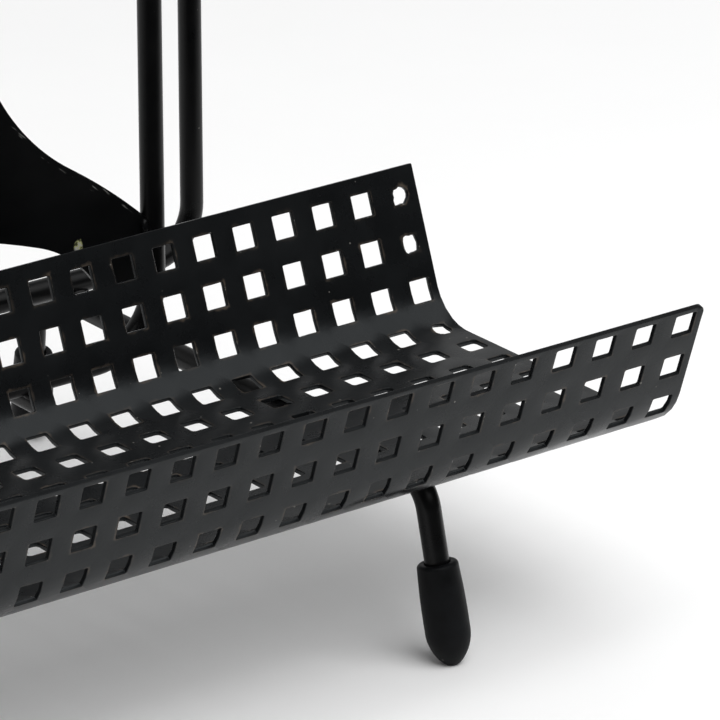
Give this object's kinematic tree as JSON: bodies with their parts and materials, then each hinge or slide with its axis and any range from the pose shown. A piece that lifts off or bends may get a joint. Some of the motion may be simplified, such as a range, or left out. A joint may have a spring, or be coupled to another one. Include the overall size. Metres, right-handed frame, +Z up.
{
  "type": "letter holder",
  "caption": "Black desk letter holder: a perforated sheet tray on bent wire legs, with wire loops and a shaped plate behind it that keep letters upright.",
  "frame": {"origin": "centre of the bounding box at the floor under the rubber caps", "axes": "+X along the tray to the right, +Y from the tray's front to the back loop, +Z up"},
  "size_m": [0.231, 0.1342, 0.142],
  "materials": {
    "enamel_sheet": "satin black enamel",
    "enamel_wire": "semi-gloss black enamel",
    "cap_rubber": "matt black rubber"
  },
  "bodies": {
    "root": {"perforated_tray": "enamel_sheet", "divider_plate": "enamel_sheet", "leg_wire_left": "enamel_wire", "leg_wire_right": "enamel_wire", "slot_rail_left": "enamel_wire", "slot_rail_right": "enamel_wire", "front_loop": "enamel_wire", "back_loop": "enamel_wire", "foot_cap_front_left": "cap_rubber", "foot_cap_front_right": "cap_rubber", "foot_cap_back_left": "cap_rubber", "foot_cap_back_right": "cap_rubber"}
  },
  "joints": []
}
